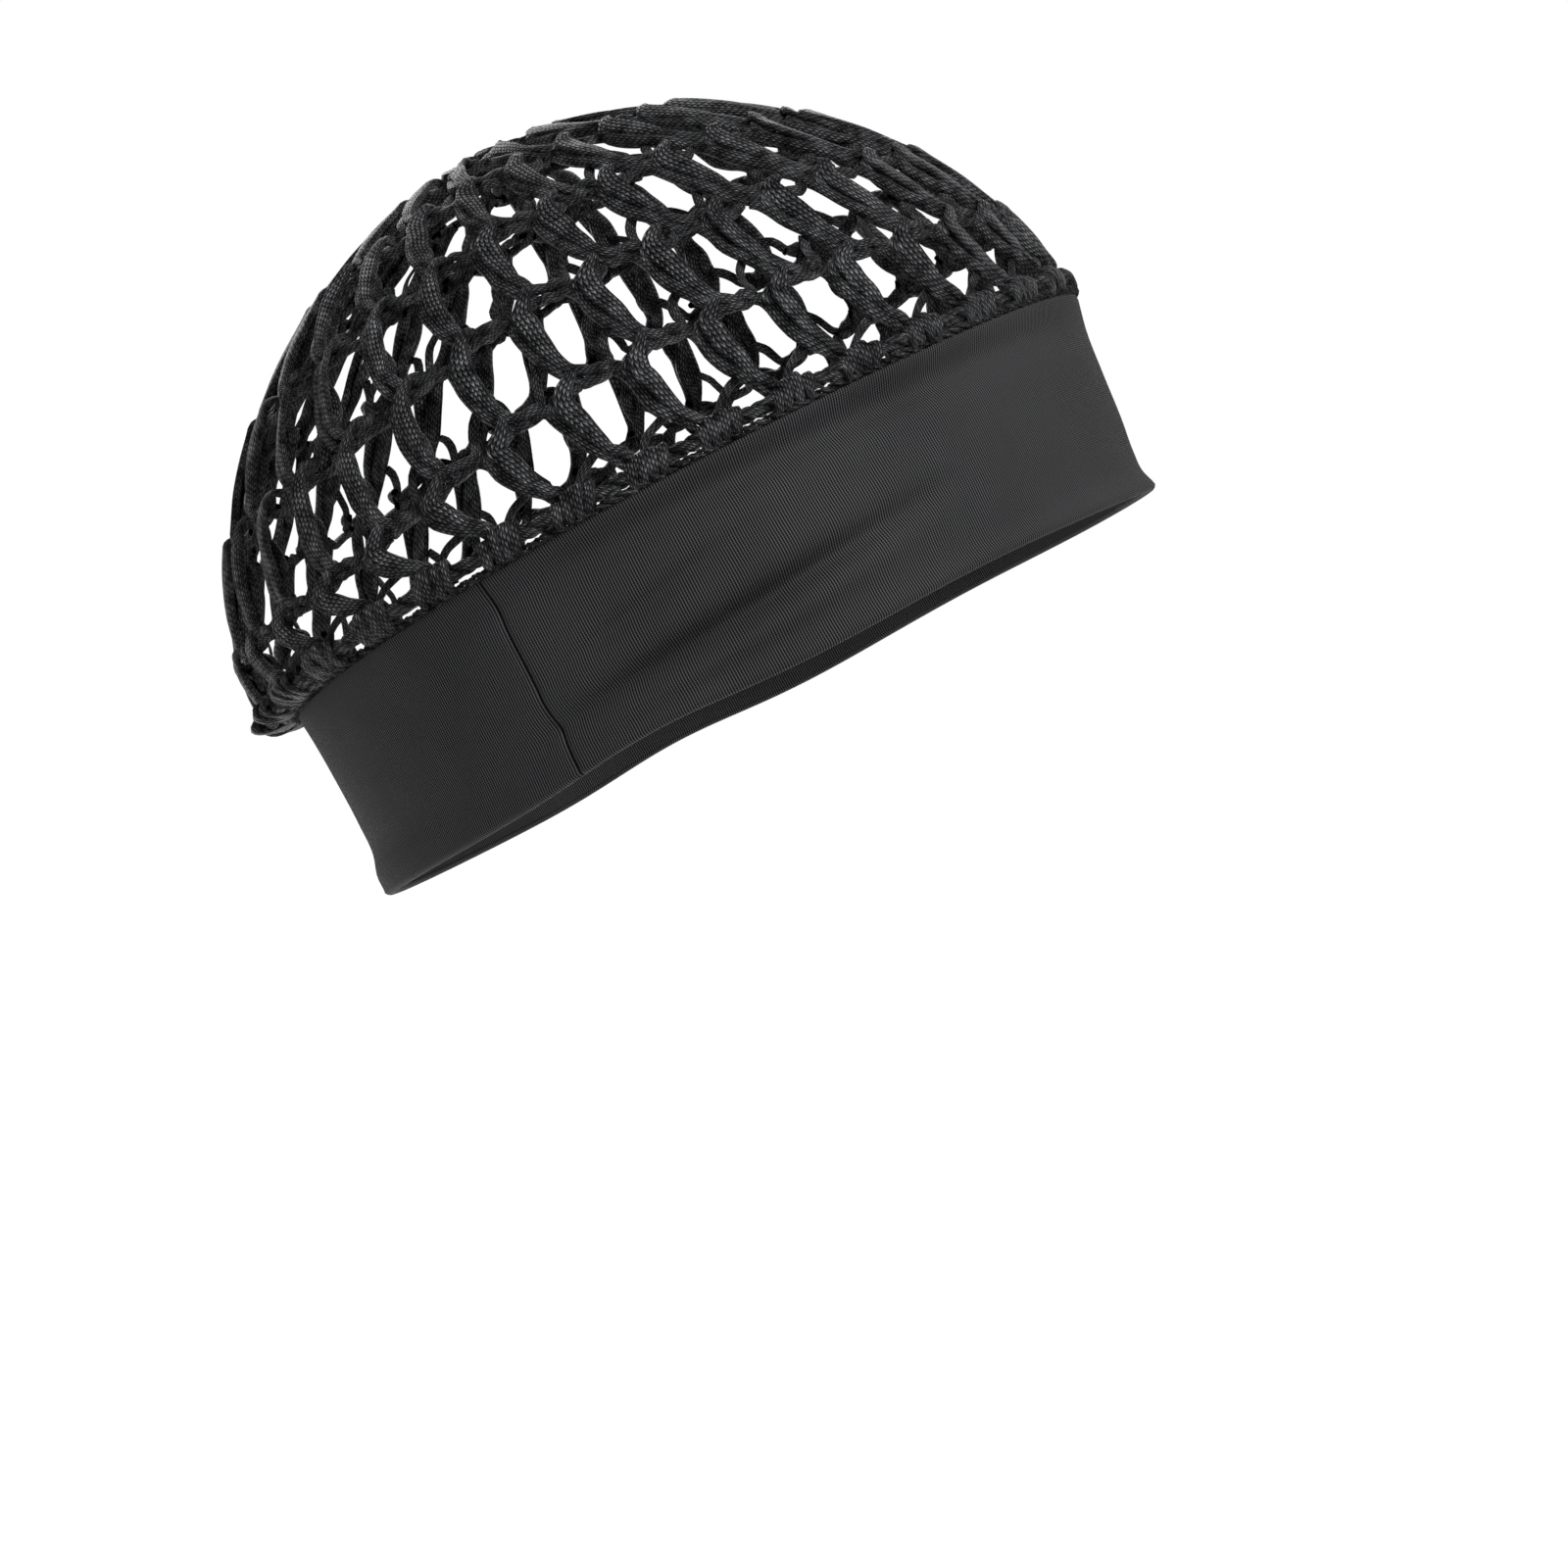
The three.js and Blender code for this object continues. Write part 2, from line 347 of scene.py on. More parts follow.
    def band_middle(self, angle: np.ndarray, rise: np.ndarray) -> np.ndarray:
        """Gives points in the middle of the band's wall.

        Args:
            angle: Angles round the cap.
            rise: Shares of the band's height.

        Returns:
            The points, upright.
        """
        shift = Around(*(self.band_column(rise, name) for name in ("front", "back", "side"))).at(angle)
        points = self.plan(angle, self.band_reach)
        out = self.plan_out(angle, self.band_reach)
        points += out * (self.band_flare * shift + self.fold_at(angle, rise))[:, None]
        points[:, 2] = self.band_height * rise - self.band_top
        return points

    def band_edge(self, angle: np.ndarray) -> np.ndarray:
        """Gives the middle of the band's rounded top edge.

        Args:
            angle: Angles round the cap.

        Returns:
            The points, upright.
        """
        points = self.band_middle(angle, np.full(len(angle), self.band_rows[-1].rise))
        points[:, 2] = self.band_top - self.band_wall / 2
        return points

    def edging_fold(self, angle: np.ndarray) -> np.ndarray:
        """Gives how far the edging folds outwards, in radians."""
        return self.edging_turn * behind(angle)

    def edging_end(self, angle: np.ndarray) -> np.ndarray:
        """Gives the edging's reach from the band's edge."""
        extra = (self.edging_back_height - self.edging_height) * behind(angle)
        return self.band_wall / 2 + self.piece_gap + self.edging_height + extra

    def edging(self, angle: np.ndarray, reach: np.ndarray, depth: np.ndarray) -> np.ndarray:
        """Gives points of the edging.

        Args:
            angle: Angles round the cap.
            reach: Distances from the band's edge along the edging.
            depth: Distances outwards from the middle of the edging's wall.

        Returns:
            The points, upright.
        """
        out = self.plan_out(angle, self.band_reach)
        fold = self.edging_fold(angle)[:, None]
        up = np.array([[0.0, 0.0, 1.0]])
        along = out * np.sin(fold) + up * np.cos(fold)
        away = out * np.cos(fold) - up * np.sin(fold)
        return self.band_edge(angle) + along * reach[:, None] + away * depth[:, None]

    def net_rim(self, angle: np.ndarray) -> np.ndarray:
        """Gives the middle of the net's rim on the edging.

        Args:
            angle: Angles round the cap.

        Returns:
            The points, upright.
        """
        fold = self.edging_fold(angle)
        end = self.edging_end(angle)
        out = self.plan_out(angle, self.band_reach)
        half = self.edging_wall / 2
        rim = self.band_edge(angle) + out * ((end - half) * np.sin(fold))[:, None]
        rim[:, 2] += end * np.cos(fold) + half * np.sin(fold) + self.piece_gap
        return rim

    def dome(self, angle: np.ndarray, lift: np.ndarray) -> np.ndarray:
        """Gives points of the dome.

        Args:
            angle: Angles round the cap.
            lift: Lifts from the dome's base, 0, to its crown, a quarter turn.

        Returns:
            The points, upright.
        """
        power = 2 / self.roundness.at(angle)
        spread = np.maximum(np.cos(lift), 0) ** power
        sine = np.sin(lift)
        points = self.plan(angle, self.net_reach) * spread[:, None]
        points[:, 0] -= self.crown_setback * (1 - spread)
        points[:, 2] = self.band_top + self.net_rise * np.sign(sine) * np.abs(sine) ** power
        return points

    @property
    def rim_lift(self) -> float:
        """The lift at which the net leaves the edging."""
        height = self.net_rim(np.zeros(1))[0, 2] - self.band_top
        return math.asin((height / self.net_rise) ** (self.roundness.front / 2))

    @property
    def crown_lift(self) -> float:
        """The lift of the crown's small ring."""
        share = self.crown_radius / self.net_reach.side
        return math.acos(share ** (self.roundness.side / 2))

    def lift(self, angle: np.ndarray, level: np.ndarray) -> np.ndarray:
        """Gives the lift at a level, which counts rounds from the rim.

        Args:
            angle: Angles round the cap.
            level: Levels, which may run a little past the rim and the crown's ring.

        Returns:
            The lifts. Behind the sides the chains drop, and most in the first round.
        """
        heights = np.array([each.height for each in self.rounds])
        tops = np.concatenate([[0], np.cumsum(heights)])
        below = np.clip(np.floor(level).astype(int), 0, len(heights) - 1)
        height = tops[below] + heights[below] * (level - below)
        drooping = eased(np.clip(-np.cos(angle) / self.full_droop, 0, 1))
        settled = np.clip(level, 0, 1) * np.clip(1 - level / len(heights), 0, 1)
        droop = self.back_droop / self.net_rise * drooping * settled
        return self.rim_lift + (self.crown_lift - self.rim_lift) * height / tops[-1] - droop

    def net(self, share: np.ndarray, level: np.ndarray) -> np.ndarray:
        """Gives points of the net's middle surface.

        Args:
            share: Shares of the way round.
            level: Levels from the rim.

        Returns:
            The points, upright. The first round runs down to the edging's own rim.
        """
        angle = self.even_angle(share, self.net_reach)
        points = self.dome(angle, self.lift(angle, level))
        pull = self.net_rim(angle) - self.dome(angle, np.full(len(angle), self.rim_lift))
        return points + pull * eased(np.clip(1 - level, 0, 1))[:, None]

    def net_frame(self, share: np.ndarray, level: np.ndarray) -> tuple[np.ndarray, ...]:
        """Gives the net's points with their outward directions and speeds.

        Args:
            share: Shares of the way round.
            level: Levels from the rim.

        Returns:
            The points, the outward directions, and the metres for each share and each level.
        """
        points = self.net(share, level)
        run = (self.net(share + NUDGE, level) - self.net(share - NUDGE, level)) / (2 * NUDGE)
        rise = (self.net(share, level + NUDGE) - points) / NUDGE
        return (
            points,
            unit(np.cross(run, rise)),
            np.linalg.norm(run, axis=1),
            np.linalg.norm(rise, axis=1),
        )


@dataclass
class YarnBag:
    """Gathers swept strands into one mesh, with the yarn's length and girth as its UV."""

    sides: int = 8
    points: list[np.ndarray] = field(default_factory=list)
    faces: list[np.ndarray] = field(default_factory=list)
    uvs: list[np.ndarray] = field(default_factory=list)
    count: int = 0

    def add(
        self,
        path: np.ndarray,
        out: np.ndarray,
        width: np.ndarray | float,
        thick: np.ndarray | float,
        twist: np.ndarray | float = 0.0,
        section: Section = Section.TAPE,
        closed: bool = False,
    ) -> None:
        """Sweeps one strand.

        Args:
            path: The strand's middle line.
            out: The way that its flat side faces, at each point.
            width: Its width.
            thick: Its thickness.
            twist: How far its section is turned about its own line, in radians.
            section: How square the section is.
            closed: Whether the strand's end meets its start.
        """
        steps = len(path)
        if closed:
            run = np.roll(path, -1, axis=0) - np.roll(path, 1, axis=0)
        else:
            run = np.gradient(path, axis=0)
        run = unit(run)
        across = unit(np.cross(out, run))
        face = np.cross(run, across)
        turn = np.broadcast_to(np.asarray(twist, float), (steps,))[:, None]
        side = across * np.cos(turn) + face * np.sin(turn)
        front = face * np.cos(turn) - across * np.sin(turn)
        round_it = np.arange(self.sides) * FULL_TURN / self.sides
        wide = np.sign(np.cos(round_it)) * np.abs(np.cos(round_it)) ** section.value
        deep = np.sign(np.sin(round_it)) * np.abs(np.sin(round_it)) ** section.value
        half_width = np.broadcast_to(np.asarray(width, float), (steps,))[:, None, None] / 2
        half_thick = np.broadcast_to(np.asarray(thick, float), (steps,))[:, None, None] / 2
        ring = (
            path[:, None, :]
            + side[:, None, :] * wide[None, :, None] * half_width
            + front[:, None, :] * deep[None, :, None] * half_thick
        )
        reached = lengths_along(path)
        ends = np.append(reached, 2 * reached[-1] - reached[-2])
        spans = steps if closed else steps - 1
        here = np.arange(spans)[:, None] * self.sides
        there = (np.arange(spans)[:, None] + 1) % steps * self.sides
        corner = np.arange(self.sides)[None, :]
        following = (corner + 1) % self.sides
        quads = np.stack([here + corner, here + following, there + following, there + corner], -1)
        low = np.broadcast_to(ends[:spans, None], (spans, self.sides))
        high = np.broadcast_to(ends[1 : spans + 1, None], (spans, self.sides))
        left = np.broadcast_to(corner / self.sides, (spans, self.sides))
        right = np.broadcast_to((corner + 1) / self.sides, (spans, self.sides))
        uv = np.stack([left, low, right, low, right, high, left, high], -1)
        self.faces.append((quads + self.count).reshape(-1, 4))
        self.uvs.append(uv.reshape(-1, 8))
        if not closed:
            self._cap_ends(steps)
        self.points.append(ring.reshape(-1, 3))
        self.count += steps * self.sides

    def _cap_ends(self, steps: int) -> None:
        """Closes both ends of the strand that is being added.

        Args:
            steps: How many rings of points it has.
        """
        half = self.sides // 2
        last = (steps - 1) * self.sides
        quads = []
        for i in range(half - 1):
            near = [i, self.sides - 1 - i, self.sides - 2 - i, i + 1]
            quads.append(near)
            quads.append([last + corner for corner in reversed(near)])
        self.faces.append(np.array(quads) + self.count)
        self.uvs.append(np.zeros((len(quads), 8)))

    def to_object(self, name: str, form: CapForm, material: bpy.types.Material) -> bpy.types.Object:
        """Makes the piece.

        Args:
            name: The piece's name.
            form: The form that leans the upright strands into place.
            material: The yarn's material.

        Returns:
            The new object, with its strands as one mesh.
        """
        points = form.world(np.concatenate(self.points))
        return mesh_object(name, points, np.concatenate(self.faces), np.concatenate(self.uvs), material)


def mesh_object(
    name: str,
    points: np.ndarray,
    faces: np.ndarray,
    uvs: np.ndarray,
    material: bpy.types.Material,
) -> bpy.types.Object:
    """Makes a smooth object of quads.

    Args:
        name: The piece's name.
        points: Its corners.
        faces: Four corner numbers a face.
        uvs: Eight numbers a face, a UV pair for each corner.
        material: Its material.

    Returns:
        The object, linked to the scene.
    """
    mesh = bpy.data.meshes.new(name)
    mesh.vertices.add(len(points))
    mesh.vertices.foreach_set("co", points.astype(np.float32).ravel())
    mesh.loops.add(len(faces) * 4)
    mesh.loops.foreach_set("vertex_index", faces.astype(np.int32).ravel())
    mesh.polygons.add(len(faces))
    mesh.polygons.foreach_set("loop_start", np.arange(0, len(faces) * 4, 4, dtype=np.int32))
    mesh.update(calc_edges=True)
    mesh.polygons.foreach_set("use_smooth", np.ones(len(faces), bool))
    layer = mesh.uv_layers.new(name="yarn")
    layer.data.foreach_set("uv", uvs.astype(np.float32).ravel())
    mesh.materials.append(material)
    mesh.validate()
    piece = bpy.data.objects.new(name, mesh)
    bpy.context.scene.collection.objects.link(piece)
    return piece


@dataclass
class NodeBoard:
    """Wires up one material's nodes."""

    tree: bpy.types.NodeTree

    @classmethod
    def new(cls, name: str) -> tuple[bpy.types.Material, "NodeBoard", bpy.types.Node]:
        """Starts a material.

        Args:
            name: The material's name.

        Returns:
            The material, its board and its shader.
        """
        material = bpy.data.materials.new(name)
        material.use_nodes = True
        shader = material.node_tree.nodes["Principled BSDF"]
        return material, cls(material.node_tree), shader

    def link(self, source: object, socket: bpy.types.NodeSocket) -> None:
        """Feeds a socket.

        Args:
            source: Another socket, or a value to set.
            socket: The socket.
        """
        if isinstance(source, bpy.types.NodeSocket):
            self.tree.links.new(source, socket)
        else:
            socket.default_value = source

    def math(self, operation: str, *inputs: object) -> bpy.types.NodeSocket:
        """Adds a math node.

        Args:
            operation: The node's operation.
            inputs: Its inputs, sockets or numbers.

        Returns:
            Its result.
        """
        node = self.tree.nodes.new("ShaderNodeMath")
        node.operation = operation
        for source, socket in zip(inputs, node.inputs):
            self.link(source, socket)
        return node.outputs[0]

    def uv(self) -> tuple[bpy.types.NodeSocket, bpy.types.NodeSocket]:
        """Reads the mesh's UV.

        Returns:
            Its two numbers.
        """
        place = self.tree.nodes.new("ShaderNodeUVMap")
        place.uv_map = "yarn"
        split = self.tree.nodes.new("ShaderNodeSeparateXYZ")
        self.tree.links.new(place.outputs[0], split.inputs[0])
        return split.outputs[0], split.outputs[1]

    def off_middle(self, count: bpy.types.NodeSocket) -> bpy.types.NodeSocket:
        """Gives how far a running count is from the middle of its whole step."""
        return self.math("ABSOLUTE", self.math("SUBTRACT", self.math("FRACT", count), 0.5))

    def wave(self, operation: str, count: bpy.types.NodeSocket) -> bpy.types.NodeSocket:
        """Gives a wave from 0 to 1 with one length to each whole step of a running count."""
        swing = self.math(operation, self.math("MULTIPLY", count, FULL_TURN))
        return self.math("MULTIPLY_ADD", swing, 0.5, 0.5)

    def noise(self, scale: float, detail: float = 2.0) -> bpy.types.NodeSocket:
        """Adds a noise in object space.

        Args:
            scale: How many of its patches fit in a metre.
            detail: How fine it is within a patch.

        Returns:
            Its value.
        """
        place = self.tree.nodes.new("ShaderNodeTexCoord")
        node = self.tree.nodes.new("ShaderNodeTexNoise")
        node.inputs["Scale"].default_value = scale
        node.inputs["Detail"].default_value = detail
        self.tree.links.new(place.outputs["Object"], node.inputs["Vector"])
        return node.outputs[0]

    def blend(self, share: bpy.types.NodeSocket, dark: Shade, light: Shade) -> bpy.types.NodeSocket:
        """Mixes two colours.

        Args:
            share: The light colour's share.
            dark: The colour at 0.
            light: The colour at 1.

        Returns:
            The mixed colour.
        """
        node = self.tree.nodes.new("ShaderNodeMix")
        node.data_type = "RGBA"
        # The colours' sockets come after those for numbers and vectors.
        first, second, mixed = node.inputs[6], node.inputs[7], node.outputs[2]
        self.link(share, node.inputs[0])
        first.default_value = (*dark, 1)
        second.default_value = (*light, 1)
        return mixed

    def bump(self, height: bpy.types.NodeSocket, distance: float, strength: float) -> bpy.types.NodeSocket:
        """Adds a bump.

        Args:
            height: The relief's height from 0 to 1.
            distance: Its real height.
            strength: How much of it shows.

        Returns:
            Its normal.
        """
        node = self.tree.nodes.new("ShaderNodeBump")
        node.inputs["Strength"].default_value = strength
        node.inputs["Distance"].default_value = distance
        self.link(height, node.inputs["Height"])
        return node.outputs[0]


@dataclass(frozen=True)
class Knit:
    """What the knitted finishes share: a dark shade painted as shade in the knit's hollows, a light shade
    painted as highlight on its ridges, a relief and a soft shine.
    """

    name: str
    dark: Shade
    light: Shade
    relief: float
    bump: float
    roughness: float
    shine: float

    def start(self) -> tuple[bpy.types.Material, NodeBoard, bpy.types.Node]:
        """Starts the finish's material."""
        return NodeBoard.new(self.name)

    def colour(
        self,
        board: NodeBoard,
        shader: bpy.types.Node,
        share: bpy.types.NodeSocket,
        height: bpy.types.NodeSocket,
    ) -> None:
        """Colours a shader, painting shade where the knit is low and a highlight where it stands high, and
        gives it its relief.

        Args:
            board: The material's board.
            shader: The material's shader.
            share: How light and shiny each place is: low in the hollows, as painted shade, and high on the
                ridges, as painted highlight.
            height: How high it stands.
        """
        # Painted shade and highlight: the knit's hollows get the dark shade and its ridges the light one,
        # and the shine falls away in the hollows too.
        board.link(board.blend(share, self.dark, self.light), shader.inputs["Base Color"])
        board.link(board.bump(height, self.relief, self.bump), shader.inputs["Normal"])
        board.link(board.math("MULTIPLY", share, self.shine), shader.inputs["Specular IOR Level"])
        shader.inputs["Roughness"].default_value = self.roughness


@dataclass(frozen=True)
class TapeYarn(Knit):
    """Black knitted tape yarn with a satin sheen and a bluish painted highlight on its stitches: its wales
    round it, its courses along it.
    """

    name: str = "tape_yarn"
    dark: Shade = (0.0003, 0.0003, 0.00035)
    light: Shade = (0.048, 0.0495, 0.0526)
    relief: float = 0.4 * MM
    bump: float = 1.0
    roughness: float = 0.42
    shine: float = 0.36
    wales: float = 15
    course: float = 1.3 * MM
    slant: float = 1.1
    stagger: float = 0.37
    looseness: float = 1.1
    loose_scale: float = 300
    stitch_power: float = 1.4
    stitch_share: float = 0.8
    ridge_power: float = 1.6
    patch_scale: float = 380
    patch_gain: float = 1.7
    patch_power: float = 2.0
    light_power: float = 1.3

    def material(self) -> bpy.types.Material:
        """Makes the yarn's material, with rows of small knitted chevrons along the tape, painted dark in
        the hollows between stitches as shade and light on their ridges as highlight.

        Returns:
            The material.
        """
        material, board, shader = self.start()
        round_it, along = board.uv()
        column = board.math("MULTIPLY", round_it, self.wales)
        off = board.off_middle(column)
        loose = board.math("MULTIPLY", board.noise(self.loose_scale), self.looseness)
        stagger = board.math("MULTIPLY", board.math("FLOOR", column), self.stagger)
        uneven = board.math("ADD", loose, stagger)
        phase = board.math("ADD", board.math("DIVIDE", along, self.course), uneven)
        slanted = board.math("ADD", phase, board.math("MULTIPLY", off, self.slant))
        stitch = board.math("POWER", board.wave("SINE", slanted), self.stitch_power)
        raised = board.math("MULTIPLY_ADD", stitch, self.stitch_share, 1 - self.stitch_share)
        edge = board.math("POWER", board.math("MULTIPLY", off, 2.0), self.ridge_power)
        height = board.math("MULTIPLY", raised, board.math("SUBTRACT", 1.0, edge))
        patchy = board.math("MULTIPLY", board.noise(self.patch_scale), self.patch_gain)
        patchy = board.math("POWER", patchy, self.patch_power)
        # Painted shade and highlight: the hollows between stitches go dark and the raised stitches light,
        # in random patches.
        share = board.math("MULTIPLY", board.math("POWER", height, self.light_power), patchy)
        self.colour(board, shader, share, height)
        return material


@dataclass(frozen=True)
class Jersey(Knit):
    """Fine black jersey with its wales across the band, the grooves between its ribs painted dark as shade
    and the ribs light as painted highlight.
    """

    name: str = "jersey"
    dark: Shade = (0.0003, 0.0003, 0.00033)
    light: Shade = (0.034, 0.0341, 0.0354)
    relief: float = 0.14 * MM
    bump: float = 0.8
    roughness: float = 0.6
    shine: float = 0.07
    wale: float = 0.54 * MM
    course: float = 0.42 * MM
    wobble: float = 0.35
    wobble_scale: float = 60
    wobble_detail: float = 3
    rib_share: float = 0.65
    cloud: float = 0.6
    cloud_least: float = 0.7
    cloud_scale: float = 35
    cloud_detail: float = 4
    light_power: float = 2.2

    def material(self) -> bpy.types.Material:
        """Makes the jersey's material from the cloth's own lengths.

        Returns:
            The material.
        """
        material, board, shader = self.start()
        around, up = board.uv()
        uneven = board.noise(self.wobble_scale, self.wobble_detail)
        wobble = board.math("MULTIPLY", uneven, self.wobble)
        wale = board.math("ADD", board.math("DIVIDE", around, self.wale), wobble)
        rib = board.wave("COSINE", wale)
        row = board.math("ADD", board.math("DIVIDE", up, self.course), board.off_middle(wale))
        loop = board.math("MULTIPLY", board.wave("COSINE", row), 1 - self.rib_share)
        height = board.math("MULTIPLY_ADD", rib, self.rib_share, loop)
        cloudy = board.noise(self.cloud_scale, self.cloud_detail)
        cloudy = board.math("MULTIPLY_ADD", cloudy, self.cloud, self.cloud_least)
        # Painted shade and highlight: the grooves between the ribs go dark and the ribs light, in soft
        # clouds.
        share = board.math("MULTIPLY", board.math("POWER", height, self.light_power), cloudy)
        self.colour(board, shader, share, height)
        return material


@dataclass(frozen=True)
class PaleGround:
    """The plain pale finish of the studio's floor."""

    colour: Shade = (0.92, 0.92, 0.92)
    roughness: float = 0.9
    glow: float = 0.12

    def material(self) -> bpy.types.Material:
        """Makes the floor's matt material.

        Returns:
            The material.
        """
        material, _, shader = NodeBoard.new("pale_ground")
        shader.inputs["Base Color"].default_value = (*self.colour, 1)
        shader.inputs["Roughness"].default_value = self.roughness
        shader.inputs["Emission Color"].default_value = (1.0, 1.0, 1.0, 1.0)
        shader.inputs["Emission Strength"].default_value = self.glow
        return material


@dataclass(frozen=True)
class Bend:
    """One bend of a strand, in mm from the foot of its post, with the strand's size there."""

    across: float
    up: float
    out: float
    width: float
    thick: float


@dataclass(frozen=True)
class StrandPlan:
    """A strand that repeats with each post of a round: its bends and how many points it gets."""

    bends: tuple[Bend, ...]
    steps: int


RIGHT_OF_POST = (
    Bend(0.0, 19.6, -1.0, 2.2, 1.3),
    Bend(-0.3, 18.8, 0.9, 2.3, 1.3),
    Bend(-1.2, 17.6, 1.8, 2.6, 1.2),
    Bend(-2.9, 16.4, 1.6, 3.6, 1.3),
    Bend(-4.0, 14.8, 1.4, 4.6, 1.4),
    Bend(-4.0, 12.6, 1.3, 4.9, 1.4),
    Bend(-3.4, 10.0, 1.2, 4.5, 1.5),
    Bend(-2.7, 7.2, 1.1, 3.9, 1.6),
    Bend(-2.0, 4.6, 0.9, 3.2, 1.7),
    Bend(-1.0, 2.5, 0.8, 2.7, 1.8),
    Bend(0.3, 0.9, 0.8, 2.4, 1.8),
)
LEFT_OF_POST = (
    Bend(-9.4, 16.2, -0.5, 2.0, 1.7),
    Bend(-7.8, 15.0, -0.4, 2.6, 1.9),
    Bend(-6.9, 12.6, -0.3, 3.1, 2.0),
    Bend(-6.3, 9.6, -0.2, 3.1, 2.0),
    Bend(-5.1, 6.4, 0.1, 3.1, 2.0),
    Bend(-3.6, 3.6, 0.5, 2.8, 2.0),
    Bend(-1.7, 1.0, 0.2, 2.4, 1.9),
)
SHOULDER_BENDS = (
    Bend(-0.4, 16.6, -0.6, 2.4, 1.6),
    Bend(-2.8, 15.9, 0.0, 2.8, 1.7),
    Bend(-5.4, 15.3, 0.5, 3.0, 1.8),
    Bend(-6.8, 13.6, 0.2, 3.0, 1.9),
    Bend(-5.0, 11.2, -1.0, 3.0, 1.9),
    Bend(-3.2, 8.6, -1.3, 3.0, 1.9),
    Bend(-2.4, 6.0, -1.1, 2.8, 1.8),
    Bend(-2.9, 3.8, -0.6, 2.6, 1.7),
    Bend(-2.0, 1.6, -0.2, 2.4, 1.6),
    Bend(-0.6, 0.2, -0.2, 2.2, 1.5),
)
UPPER_LINK = (
    Bend(1.8, 0.1, 0.4, 2.3, 1.7),
    Bend(3.2, -0.3, 0.4, 2.3, 1.7),
    Bend(4.6, -0.5, 0.9, 2.2, 1.6),
    Bend(6.5, -0.9, 0.6, 2.1, 1.5),
    Bend(7.3, 0.2, -0.3, 2.0, 1.0),
    Bend(7.4, 2.0, -0.6, 2.3, 0.6),
    Bend(8.3, 4.0, -0.6, 2.4, 0.6),
    Bend(10.0, 5.8, -0.8, 2.3, 0.6),
)
LOWER_LINK = (
    Bend(0.5, -1.2, -0.5, 2.3, 1.8),
    Bend(2.5, -2.0, 0.4, 2.1, 1.7),
    Bend(4.6, -2.0, -0.5, 2.0, 1.7),
    Bend(7.0, -2.1, 0.0, 1.9, 1.7),
    Bend(9.6, -2.9, 0.0, 2.0, 1.7),
    Bend(12.2, -2.5, -0.8, 2.1, 1.7),
    Bend(14.4, -0.8, -0.8, 2.1, 1.7),
)
RIGHT_FOOT = (Bend(1.3, -0.6, 0.5, 2.3, 1.6), Bend(2.0, -2.4, -0.6, 2.1, 1.3))
LEFT_FOOT = (Bend(-0.6, -0.8, 0.0, 2.3, 1.7), Bend(0.3, -2.4, -0.7, 2.1, 1.3))
SIDE_BENDS = (
    Bend(-3.4, 3.6, -0.5, 1.9, 0.7),
    Bend(-6.0, 2.7, -0.3, 2.0, 0.7),
    Bend(-9.4, 0.9, -0.3, 1.8, 0.7),
    Bend(-12.6, -2.5, -0.9, 1.6, 0.7),
)
FIRST_RIGHT = StrandPlan(RIGHT_OF_POST + RIGHT_FOOT, 26)
FIRST_LEFT = StrandPlan(LEFT_OF_POST + LEFT_FOOT, 20)
UPPER_RIGHT = StrandPlan(RIGHT_OF_POST + UPPER_LINK, 40)
UPPER_LEFT = StrandPlan(LEFT_OF_POST + LOWER_LINK, 34)
SHOULDER = StrandPlan(SHOULDER_BENDS, 24)
SIDE_STRAND = StrandPlan(SIDE_BENDS, 12)


